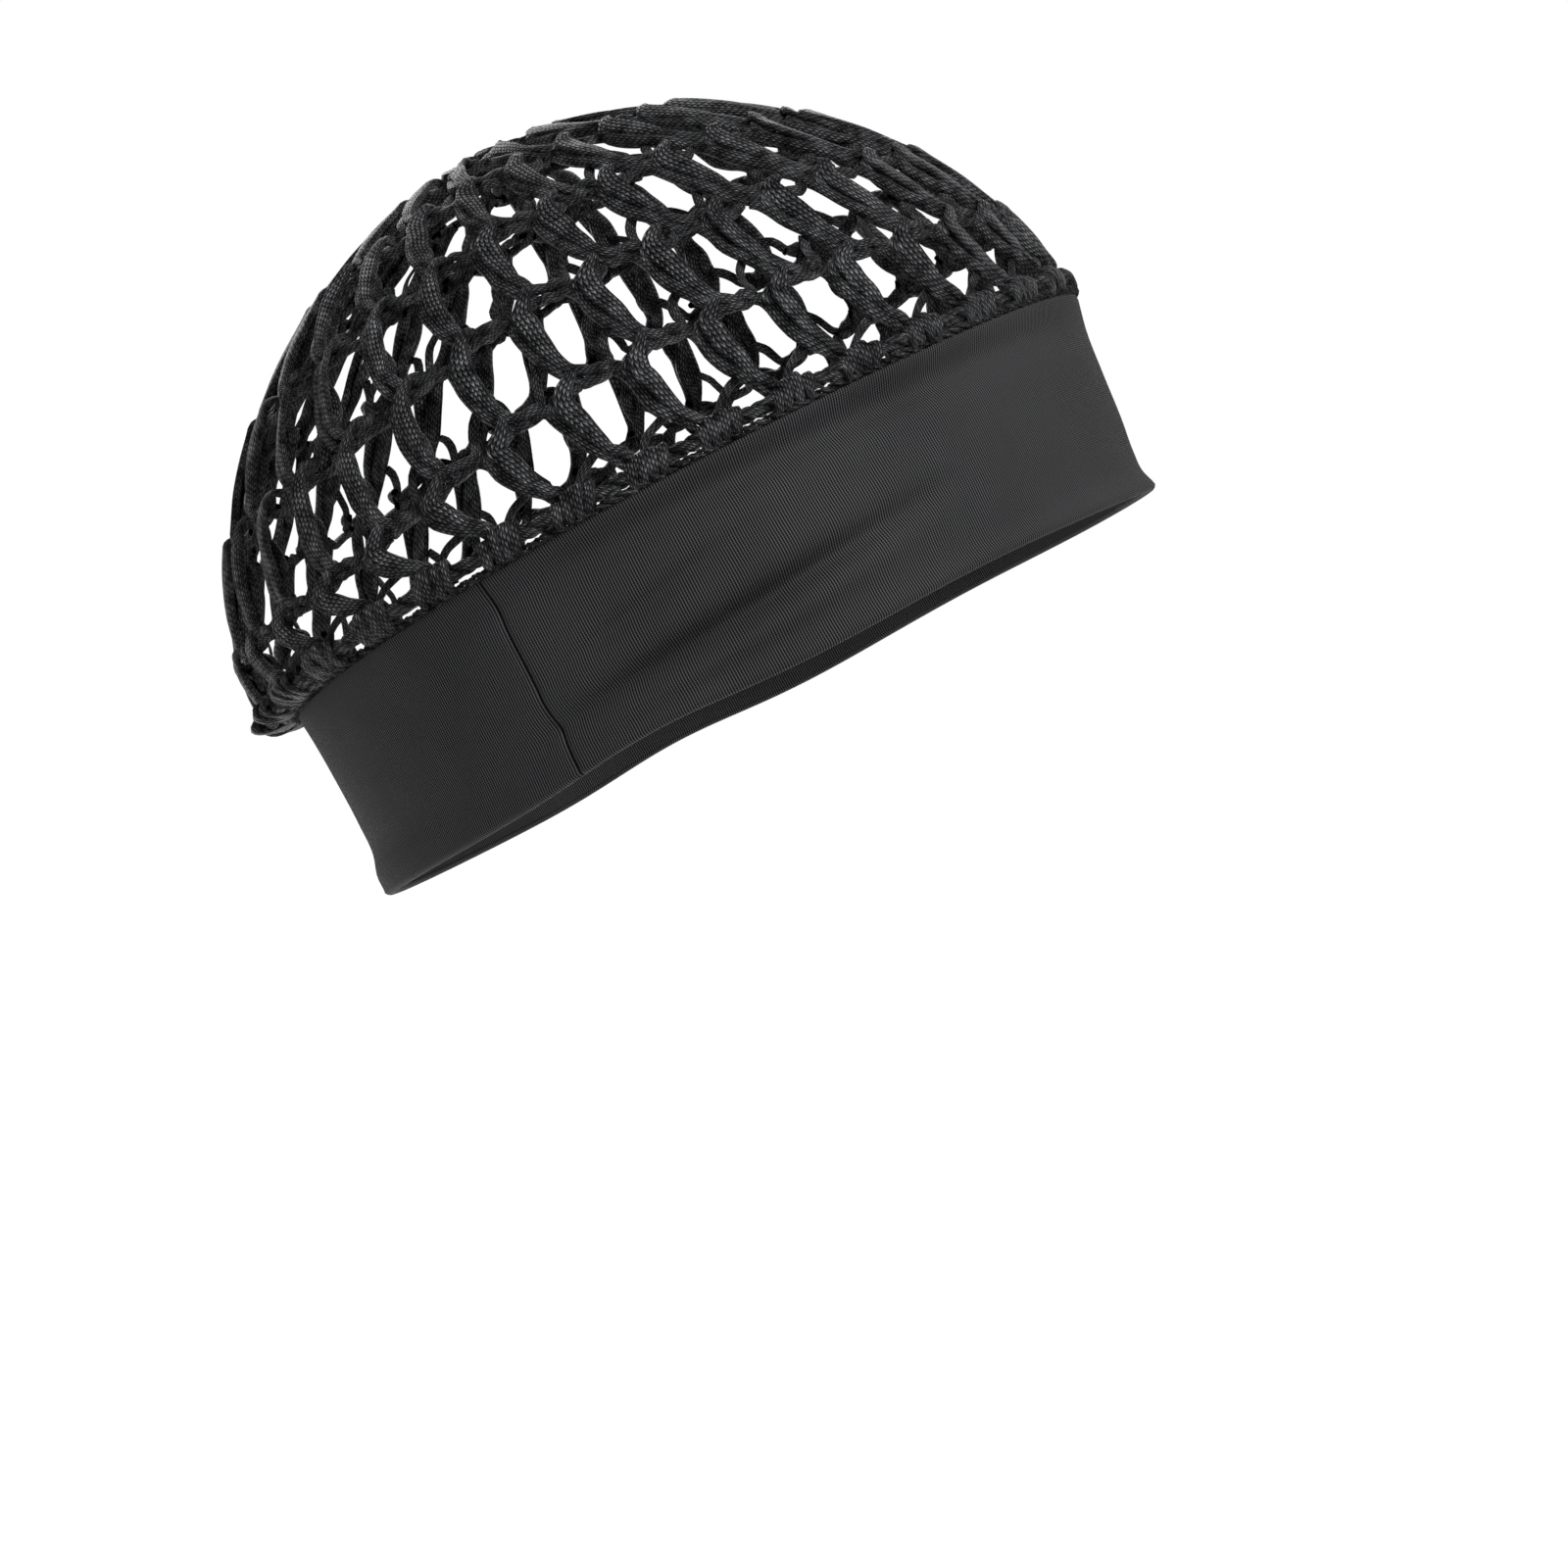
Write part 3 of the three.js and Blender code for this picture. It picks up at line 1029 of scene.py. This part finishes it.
@dataclass
class CrochetNet:
    """The open net: each post is flat tape that runs on into the chain at its foot.

    The bends are drawn, in mm, for a post of the planned pitch and height, and each round
    fits them to its own.
    """

    form: CapForm
    yarn: bpy.types.Material
    plan_pitch: float = 15.5
    plan_height: float = 17.6
    foot_rise: float = 1.2
    unevenness: float = 0.34
    loose_turn: float = 0.4
    sink: float = 1.3
    full_pitch: float = 12 * MM
    pitch_level: float = 0.6
    least_room: float = 0.62
    slimness: Around = Around(1.0, 0.76, 0.88)
    ring_width: float = 2.2 * MM
    ring_thick: float = 1.4 * MM
    ring_radius: float = 0.99 * MM
    ring_turn: float = 7.5 * MM
    ring_steps: int = 60
    coil_width: float = 2.6 * MM
    coil_thick: float = 1.8 * MM
    coil_rise: float = 0.3 * MM
    coil_levels: tuple[float, float] = (0.02, 0.24)
    coil_turns: float = 2.4
    coil_steps: int = 90
    seed: int = 11
    random: np.random.Generator = field(init=False)

    def __post_init__(self) -> None:
        """Sets up the repeatable unevenness of handwork."""
        self.random = np.random.default_rng(self.seed)

    def room(self, foot: np.ndarray, level: int) -> np.ndarray:
        """Gives how wide a round's tapes may be where its posts stand closer.

        Args:
            foot: The posts' shares of the way round.
            level: The round's number from the rim.

        Returns:
            The share of its planned width that each tape gets.
        """
        posts = self.form.net(foot, np.full(len(foot), level + self.pitch_level))
        pitch = np.linalg.norm(np.diff(posts, axis=0), axis=1)
        room = np.clip(np.append(pitch, pitch[-1]) / self.full_pitch, self.least_room, 1.0)
        return room * self.slimness.at(self.form.even_angle(foot, self.form.net_reach))

    def add_round(self, bag: YarnBag, level: int, plan: StrandPlan) -> None:
        """Adds a strand at each post of a round.

        Args:
            bag: Where the strands go.
            level: The round's number from the rim.
            plan: The strand.
        """
        posts = self.form.rounds[level].posts
        table = np.array([astuple(bend) for bend in plan.bends])
        table[:, 1] += self.foot_rise
        foot = (np.arange(posts) + self.form.foot_shift) / posts
        ends = np.concatenate([np.full(posts, float(level)), np.full(posts, level + 1.0)])
        _, _, _, rise = self.form.net_frame(np.tile(foot, 2), ends)
        routes = []
        for _ in range(posts):
            bends = table.copy()
            bends[:, :2] += self.random.uniform(-self.unevenness, self.unevenness, (len(table), 2))
            routes.append(smooth_path(bends, plan.steps))
        across, up, proud, width, thick = np.moveaxis(np.array(routes), 2, 0)
        # Past the foot or the top of its post, a strand keeps its real length.
        below = np.minimum(up, 0) * MM / rise[:posts, None]
        above = np.maximum(up - self.plan_height, 0) * MM / rise[posts:, None]
        levels = level + below + np.clip(up / self.plan_height, 0, 1) + above
        shares = foot[:, None] + across / (self.plan_pitch * posts)
        points, out, _, _ = self.form.net_frame(shares.ravel(), levels.ravel())
        points += out * (proud.reshape(-1, 1) - self.sink) * MM
        room = self.room(foot, level)
        for number in range(posts):
            here = slice(number * plan.steps, (number + 1) * plan.steps)
            lean, twist = self.random.uniform(-self.loose_turn, self.loose_turn, 2)
            turn = lean + twist * np.linspace(-1, 1, plan.steps)
            bag.add(points[here], out[here], width[number] * MM * room[number], thick[number] * MM, turn)

    def add_ring(self, bag: YarnBag) -> None:
        """Adds the crown's ring: two strands that turn about each other.

        Args:
            bag: Where the strands go.
        """
        level = np.full(self.ring_steps, float(len(self.form.rounds)))
        share = np.arange(self.ring_steps) / self.ring_steps
        points, out, run, _ = self.form.net_frame(share, level)
        up = unit(self.form.net(share, level + NUDGE) - points)
        turns = round(float(run[0]) / self.ring_turn)
        for phase in (0.0, math.pi):
            turn = FULL_TURN * turns * share + phase
            away = up * np.cos(turn)[:, None] + out * np.sin(turn)[:, None]
            path = points + away * self.ring_radius
            bag.add(path, away, self.ring_width, self.ring_thick, section=Section.CORD, closed=True)

    def add_crown(self, bag: YarnBag) -> None:
        """Adds the small coil of chain that the crochet starts from.

        Args:
            bag: Where the coil goes.
        """
        turns = np.linspace(0, self.coil_turns, self.coil_steps)
        levels = len(self.form.rounds) + np.linspace(*self.coil_levels, self.coil_steps)
        points, out, _, _ = self.form.net_frame(turns, levels)
        path = points + out * self.coil_rise
        bag.add(path, out, self.coil_width, self.coil_thick, section=Section.CORD)

    def build(self) -> list[bpy.types.Object]:
        """Builds the net's pieces.

        Returns:
            The right-hand strands, the left-hand strands, and the shoulders with the crown.
        """
        right = YarnBag()
        left = YarnBag()
        rest = YarnBag()
        for level in range(len(self.form.rounds)):
            first = level == 0
            self.add_round(right, level, FIRST_RIGHT if first else UPPER_RIGHT)
            self.add_round(left, level, FIRST_LEFT if first else UPPER_LEFT)
            self.add_round(rest, level, SHOULDER)
            if first:
                self.add_round(rest, level, SIDE_STRAND)
        self.add_ring(rest)
        self.add_crown(rest)
        pieces = [
            right.to_object("net_front_tapes", self.form, self.yarn),
            left.to_object("net_back_tapes", self.form, self.yarn),
            rest.to_object("net_shoulders", self.form, self.yarn),
        ]
        for piece in pieces:
            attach(piece, "root")
            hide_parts("crochet_net")
        return pieces


@dataclass(frozen=True)
class Wrap:
    """One stitch of the edging, in mm: its place, its height, its lowest point, lean and width."""

    across: float
    top: float
    foot: float
    lean: float
    width: float


@dataclass(frozen=True)
class WrapBend:
    """One bend of a stitch: shares of its lean, top and foot, mm up and out, its share of width."""

    lean: float
    top: float
    foot: float
    up: float
    out: float
    girth: float


WRAP_BENDS = (
    WrapBend(-0.4, 0.0, 1.0, 0.7, -1.0, 0.55),
    WrapBend(-0.1, 0.55, 0.0, 0.0, -1.4, 0.8),
    WrapBend(0.3, 0.92, 0.0, 0.0, -0.9, 1.0),
    WrapBend(0.6, 1.0, 0.0, 0.2, 0.2, 1.0),
    WrapBend(0.5, 0.86, 0.0, 0.0, 1.2, 1.0),
    WrapBend(0.0, 0.5, 0.5, 0.0, 1.5, 0.9),
    WrapBend(-0.4, 0.2, 0.8, 0.0, 1.3, 0.7),
    WrapBend(-0.5, 0.0, 1.0, 0.0, 0.7, 0.55),
)


@dataclass(frozen=True)
class Twist:
    """Two strands that turn about each other: their middle's depth, their swing and their size."""

    depth: float
    rise: float
    swing: float
    width: float
    thick: float
    section: Section
    closed: bool


@dataclass
class NetEdging:
    """The close stitches that sew the net to the band's top edge."""

    form: CapForm
    yarn: bpy.types.Material
    wraps: tuple[Wrap, ...] = (
        Wrap(-2.4, -0.9, 1.2, 1.0, 2.7),
        Wrap(-0.3, -0.1, 1.0, 0.9, 2.9),
        Wrap(1.9, 0.1, 1.1, 1.0, 2.9),
        Wrap(4.0, -0.5, 1.3, 1.2, 2.7),
    )
    stitch_thick: float = 1.3 * MM
    stitch_steps: int = 20
    loose_place: float = 0.25
    loose_height: float = 0.3
    loose_turn: float = 0.2
    loose_width: tuple[float, float] = (0.9, 1.08)
    pair: Twist = Twist(0.3 * MM, 0.75 * MM, 0.75 * MM, 2.3 * MM, 1.4 * MM, Section.TAPE, False)
    pair_heights: tuple[float, ...] = (0.66, 0.36)
    pair_lowest: float = 2.6 * MM
    pair_sag: float = 0.05
    pair_tuck: float = 1.8
    pair_turns: float = 1.2
    pair_steps: int = 26
    chain: Twist = Twist(0.9 * MM, 0.5 * MM, 0.45 * MM, 1.3 * MM, 0.9 * MM, Section.CORD, True)
    chain_sides: int = 6
    chain_reach: float = 1.35 * MM
    chain_turns: int = 92
    chain_steps: int = 560
    seed: int = 23

    def lay(self, share: float, offsets: np.ndarray) -> tuple[np.ndarray, np.ndarray]:
        """Lays a stitch on the edging.

        Args:
            share: The anchor's share of the way round.
            offsets: Rows of across, reach from the band's edge, and out, in metres.

        Returns:
            The stitch's points and its middle, which its outer face looks away from.
        """
        across, reach, out = smooth_path(offsets, self.stitch_steps).T
        girth = self.form.girth(self.form.band_reach)
        angles = self.form.even_angle(share + across / girth, self.form.band_reach)
        points = self.form.edging(angles, reach, out)
        middle = self.form.edging(angles, np.full(len(reach), reach.mean()), np.zeros(len(reach)))
        return points, middle

    def add_stitches(self, bag: YarnBag) -> None:
        """Adds the leaning stitches, each wrapped over the edging from the inside.

        Args:
            bag: Where the stitches go.
        """
        random = np.random.default_rng(self.seed)
        posts = self.form.rounds[0].posts
        around = self.form.girth(self.form.band_reach)
        girth = smooth_path(np.array([[bend.girth] for bend in WRAP_BENDS]), self.stitch_steps)[:, 0]
        for number in range(posts * len(self.wraps)):
            post, place = divmod(number, len(self.wraps))
            wrap = self.wraps[place]
            across = (wrap.across + random.uniform(-self.loose_place, self.loose_place)) * MM
            share = (post + self.form.foot_shift) / posts + across / around
            angle = self.form.even_angle(np.array([share]), self.form.band_reach)
            top = float(self.form.edging_end(angle)[0])
            top += (wrap.top + random.uniform(-self.loose_height, self.loose_height)) * MM
            lean = (wrap.lean + random.uniform(-self.loose_height, self.loose_height)) * MM
            bends = [
                (
                    bend.lean * lean,
                    bend.top * top + (bend.foot * wrap.foot + bend.up) * MM,
                    bend.out * MM,
                )
                for bend in WRAP_BENDS
            ]
            path, middle = self.lay(share, np.array(bends))
            width = girth * wrap.width * MM * random.uniform(*self.loose_width)
            turn = random.uniform(-self.loose_turn, self.loose_turn)
            bag.add(path, unit(path - middle), width, self.stitch_thick, turn)

    def add_twist(
        self,
        bag: YarnBag,
        twist: Twist,
        angle: np.ndarray,
        reach: np.ndarray,
        turn: np.ndarray,
    ) -> None:
        """Adds two strands that turn about each other.

        Args:
            bag: Where the strands go.
            twist: Their sizes.
            angle: The angles that they run through.
            reach: Their middle's distance from the band's edge.
            turn: How far the first one has turned.
        """
        depth = np.full(len(angle), twist.depth)
        middle = self.form.edging(angle, reach, depth)
        for phase in (turn, turn + math.pi):
            up = reach + twist.rise * np.cos(phase)
            out = depth + twist.swing * np.sin(phase)
            path = self.form.edging(angle, up, out)
            away = unit(path - middle)
            bag.add(path, away, twist.width, twist.thick, 0.0, twist.section, twist.closed)

    def add_pairs(self, bag: YarnBag) -> None:
        """Adds the twisted pairs of strands that lie between the stitches of two posts.

        Args:
            bag: Where the strands go.
        """
        random = np.random.default_rng(self.seed + 1)
        form = self.form
        posts = form.rounds[0].posts
        girth = form.girth(form.band_reach)
        along = np.linspace(0, 1, self.pair_steps)
        sag = self.pair_sag * np.sin(math.pi * along)
        first = (self.wraps[-1].across - self.pair_tuck) * MM
        last = girth / posts + (self.wraps[0].across + self.pair_tuck) * MM
        for number in range(posts * len(self.pair_heights)):
            post, row = divmod(number, len(self.pair_heights))
            share = (post + form.foot_shift) / posts + (first + (last - first) * along) / girth
            angle = form.even_angle(share, form.band_reach)
            reach = form.edging_end(angle) * (self.pair_heights[row] - sag)
            turn = FULL_TURN * self.pair_turns * along + random.uniform(0, FULL_TURN)
            if reach.min() >= self.pair_lowest:
                self.add_twist(bag, self.pair, angle, reach, turn)

    def add_edge_chain(self, bag: YarnBag) -> None:
        """Adds the thin twisted chain that lies against the band's top edge.

        Args:
            bag: Where the strands go.
        """
        share = np.arange(self.chain_steps) / self.chain_steps
        angle = self.form.even_angle(share, self.form.band_reach)
        reach = np.full(self.chain_steps, self.chain_reach)
        self.add_twist(bag, self.chain, angle, reach, FULL_TURN * self.chain_turns * share)

    def build(self) -> list[bpy.types.Object]:
        """Builds the edging.

        Returns:
            The wrapped stitches and the thin chain.
        """
        stitches = YarnBag()
        chain = YarnBag(self.chain_sides)
        self.add_stitches(stitches)
        self.add_pairs(stitches)
        self.add_edge_chain(chain)
        pieces = [
            stitches.to_object("edging_stitches", self.form, self.yarn),
            chain.to_object("edging_chain", self.form, self.yarn),
        ]
        for piece in pieces:
            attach(piece, "root")
            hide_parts("net_edging")
        return pieces


@dataclass(frozen=True)
class HemLift:
    """A place on each side where the hem is drawn up: degrees from the front, spread and height."""

    angle: float
    spread: float
    height: float

    def at(self, turned: np.ndarray) -> np.ndarray:
        """Gives how far the hem is drawn up at degrees from the front."""
        return self.height * np.exp(-(((turned - self.angle) / self.spread) ** 2))


@dataclass(frozen=True)
class FlatRun:
    """A flat run of the cloth: its first and last share of height, its depth in walls, its rows."""

    first: float
    last: float
    depth: float
    count: int

    def rows(self) -> list[tuple[float, float]]:
        """Gives the share of height and the depth of each row."""
        return [(rise, self.depth) for rise in np.linspace(self.first, self.last, self.count)]


@dataclass(frozen=True)
class Curl:
    """A turn of the cloth: its middle and half size as share of height and depth, and its angles."""

    rise: float
    depth: float
    half_rise: float
    half_depth: float
    first: float
    last: float
    count: int

    def rows(self) -> list[tuple[float, float]]:
        """Gives the share of height and the depth of each row.

        Returns:
            A pair for each row.
        """
        turn = np.linspace(self.first, self.last, self.count)
        rise = self.rise + self.half_rise * np.sin(turn)
        return list(zip(rise, self.depth + self.half_depth * np.cos(turn)))


@dataclass
class StretchBand:
    """The jersey band: one cloth folded over its top edge, with its hem turned in."""

    form: CapForm
    cloth: bpy.types.Material
    steps: int = 640
    seam_angle: float = math.radians(-117) % FULL_TURN
    seam_width: float = 0.42 * MM
    seam_depth: float = 0.9 * MM
    seam_rows: tuple[float, ...] = (-2, -1.2, -0.7, -0.35, 0, 0.35, 0.7, 1.2, 2)
    seam_clear: float = 2.4
    lifts: tuple[HemLift, ...] = (HemLift(106, 15, 2.2 * MM), HemLift(60, 22, 1.1 * MM))
    lift_fade: float = 3
    inner_face: FlatRun = FlatRun(0.02, 0.96, -0.5, 16)
    top_roll: Curl = Curl(0.976, 0.0, 0.024, -0.5, 0.25, math.pi - 0.25, 7)
    outer_face: FlatRun = FlatRun(0.96, 0.04, 0.5, 40)
    hem_roll: Curl = Curl(0.025, 0.1, -0.03, 0.45, 0.3, math.pi - 0.2, 7)
    turned_hem: FlatRun = FlatRun(0.04, 0.09434, -0.32, 4)
    flat_length: float = 0.48
    flat_width: float = 0.092

    def angles(self) -> np.ndarray:
        """Gives the angles of the mesh, closer together at the seam.

        Returns:
            The angles, rising.
        """
        even = self.form.even_angle(np.arange(self.steps) / self.steps, self.form.band_reach)
        half = self.seam_width / self.form.band_reach.side
        near = self.seam_angle + half * np.array(self.seam_rows)
        clear = np.abs(even - self.seam_angle) > self.seam_clear * half
        return np.sort(np.concatenate([even[clear], near]))

    def section(self) -> list[tuple[float, float]]:
        """Gives the cloth's route across the band.

        Returns:
            Rows of share of height and of depth in walls, from the raw edge inside, over the
            top and down the outer face to the turned hem.
        """
        runs = (self.inner_face, self.top_roll, self.outer_face, self.hem_roll, self.turned_hem)
        return [row for run in runs for row in run.rows()]

    def points(self, angle: np.ndarray, rise: float, depth: float) -> np.ndarray:
        """Gives one row of the cloth.

        Args:
            angle: The mesh's angles.
            rise: The row's share of the band's height.
            depth: Its distance from the wall's middle, in walls.

        Returns:
            The row's points, upright.
        """
        form = self.form
        rises = np.full(len(angle), rise)
        wall = form.band_column(rises, "wall") * form.band_wall
        off_seam = (angle - self.seam_angle) * form.band_reach.side / self.seam_width
        dip = self.seam_depth * np.exp(-(off_seam**2)) * (depth > 0)
        lifted = sum(lift.at(from_front(angle)) for lift in self.lifts)
        points = form.band_middle(angle, rises)
        points += form.plan_out(angle, form.band_reach) * (depth * wall - dip)[:, None]
        points[:, 2] += lifted * max(0.0, 1 - rise) ** self.lift_fade
        return points

    def build(self) -> bpy.types.Object:
        """Builds the band.

        Returns:
            The band as one sheet of cloth.
        """
        angle = self.angles()
        rows = [self.points(angle, rise, depth) for rise, depth in self.section()]
        count = len(angle)
        start = np.arange(len(rows) - 1)[:, None] * count
        here = start + np.arange(count)
        there = start + (np.arange(count) + 1) % count
        faces = np.stack([here + count, there + count, there, here], -1)
        around = lengths_along(self.form.plan(np.append(angle, angle[0]), self.form.band_reach))
        across = lengths_along(np.array([row[0] for row in rows]))
        left = np.broadcast_to(around[:-1], here.shape)
        right = np.broadcast_to(around[1:], here.shape)
        low = np.broadcast_to(across[:-1, None], here.shape)
        high = np.broadcast_to(across[1:, None], here.shape)
        uvs = np.stack([left, high, right, high, right, low, left, low], -1)
        band = mesh_object(
            "jersey_band",
            self.form.world(np.concatenate(rows)),
            faces.reshape(-1, 4),
            uvs.reshape(-1, 8),
            self.cloth,
        )
        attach(band, "root")
        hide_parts("stretch_band")
        return band


@dataclass(frozen=True)
class SoftLight:
    """A square soft light that points at the cap: its place, its side and its power in watts."""

    name: str
    place: tuple[float, float, float]
    size: float
    power: float


@dataclass
class Studio:
    """The camera at the photo's angle, a pale floor and soft light."""

    ground: bpy.types.Material
    lights: tuple[SoftLight, ...] = (
        SoftLight("key", (0.66, -0.74, 1.06), 0.6, 66),
        SoftLight("fill", (-1.3, -0.7, 0.5), 1.0, 7),
        SoftLight("back", (-0.3, 1.3, 0.5), 1.0, 12),
    )
    pixels: float = 1600
    pixels_per_metre: float = 5000
    sensor_width: float = 36
    nearest: float = 0.01
    camera_distance: float = 0.72
    look_x: float = 11.2 * MM
    look_z: float = -38 * MM
    floor_drop: float = 0.24
    floor_size: float = 80.0

    def add_camera(self) -> None:
        """Adds the camera, level with the middle of the photo's frame."""
        data = bpy.data.cameras.new("photo_camera")
        data.sensor_width = self.sensor_width
        data.lens = self.sensor_width * self.camera_distance * self.pixels_per_metre / self.pixels
        data.clip_start = self.nearest
        camera = bpy.data.objects.new("photo_camera", data)
        camera.location = (self.look_x, -self.camera_distance, self.look_z)
        camera.rotation_euler = (math.pi / 2, 0, 0)
        bpy.context.scene.collection.objects.link(camera)
        bpy.context.scene.camera = camera
        bpy.context.scene.view_settings.view_transform = "Standard"

    def add_floor(self) -> None:
        """Adds the plain floor below the cap."""
        half = self.floor_size / 2
        level = self.look_z - self.floor_drop
        corners = [(x, y, level) for x, y in ((-half, -half), (half, -half), (half, half), (-half, half))]
        mesh = bpy.data.meshes.new("studio_floor")
        mesh.from_pydata(corners, [], [(0, 1, 2, 3)])
        mesh.materials.append(self.ground)
        floor = bpy.data.objects.new("studio_floor", mesh)
        bpy.context.scene.collection.objects.link(floor)

    def add_light(self, soft: SoftLight) -> None:
        """Adds a light.

        Args:
            soft: Its place, size and power.
        """
        data = bpy.data.lights.new(soft.name, "AREA")
        data.shape = "SQUARE"
        data.size = soft.size
        data.energy = soft.power
        light = bpy.data.objects.new(soft.name, data)
        light.location = soft.place
        x, y, z = soft.place
        light.rotation_euler = (math.atan2(math.hypot(x, y), z), 0, math.atan2(y, x) + math.pi / 2)
        bpy.context.scene.collection.objects.link(light)

    def add_world(self) -> None:
        """Adds an even pale surrounding."""
        world = bpy.data.worlds.new("pale_world")
        world.use_nodes = True
        background = world.node_tree.nodes["Background"]
        background.inputs["Color"].default_value = (1.0, 1.0, 1.0, 1)
        background.inputs["Strength"].default_value = 1.0
        bpy.context.scene.world = world

    def build(self) -> None:
        """Builds the studio."""
        self.add_world()
        self.add_floor()
        for soft in self.lights:
            self.add_light(soft)
        self.add_camera()


def main() -> None:
    """Builds the dressed hairnet and its studio."""
    logging.basicConfig(level=logging.INFO, format="%(name)s: %(message)s")
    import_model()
    form = CapForm()
    Studio(PaleGround().material()).build()
    yarn = TapeYarn().material()
    pieces = CrochetNet(form, yarn).build()
    pieces += NetEdging(form, yarn).build()
    pieces.append(StretchBand(form, Jersey().material()).build())
    for piece in pieces:
        LOG.info("%s: %d faces", piece.name, len(piece.data.polygons))


if __name__ == "__main__":
    main()
